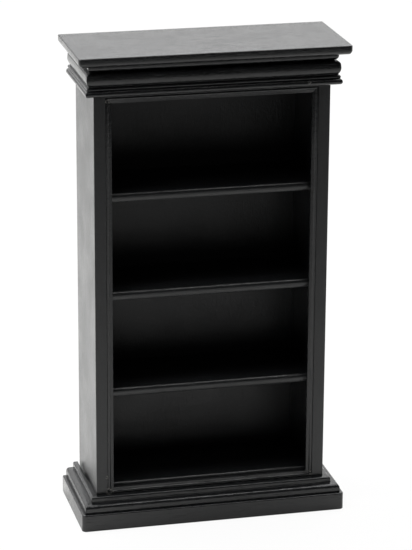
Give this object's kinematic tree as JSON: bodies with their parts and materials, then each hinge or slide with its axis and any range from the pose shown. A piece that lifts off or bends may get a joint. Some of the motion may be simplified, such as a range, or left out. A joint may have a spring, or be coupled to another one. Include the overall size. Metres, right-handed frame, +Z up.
{
  "type": "miniature bookcase",
  "caption": "Open miniature bookcase in black painted wood, with shelves in a beaded frame, a crown moulding under a rounded top board and a stepped base.",
  "frame": {"origin": "middle of the underside of the whole piece, on the surface that it stands on", "axes": "+Z up, -Y out of the open front, +X to the right of someone facing the front"},
  "size_m": [0.098, 0.0396, 0.175],
  "materials": {
    "painted_panel": "satin black paint over fine-grained wood",
    "painted_moulding": "satin black paint, filling the quirks of the mouldings",
    "painted_board": "satin black paint with a faint brushed texture"
  },
  "bodies": {
    "root": {"base_board": "painted_board", "base_moulding_front": "painted_moulding", "base_moulding_left": "painted_moulding", "base_moulding_right": "painted_moulding", "left_side": "painted_panel", "right_side": "painted_panel", "back_panel": "painted_panel", "floor_panel": "painted_panel", "inner_top": "painted_panel", "shelf_lower": "painted_panel", "shelf_middle": "painted_panel", "shelf_upper": "painted_panel", "bottom_rail": "painted_panel", "top_rail": "painted_panel", "bead_left": "painted_moulding", "bead_right": "painted_moulding", "bead_top": "painted_moulding", "bead_bottom": "painted_moulding", "crown_front": "painted_moulding", "crown_left": "painted_moulding", "crown_right": "painted_moulding", "top_board": "painted_board"}
  },
  "joints": []
}
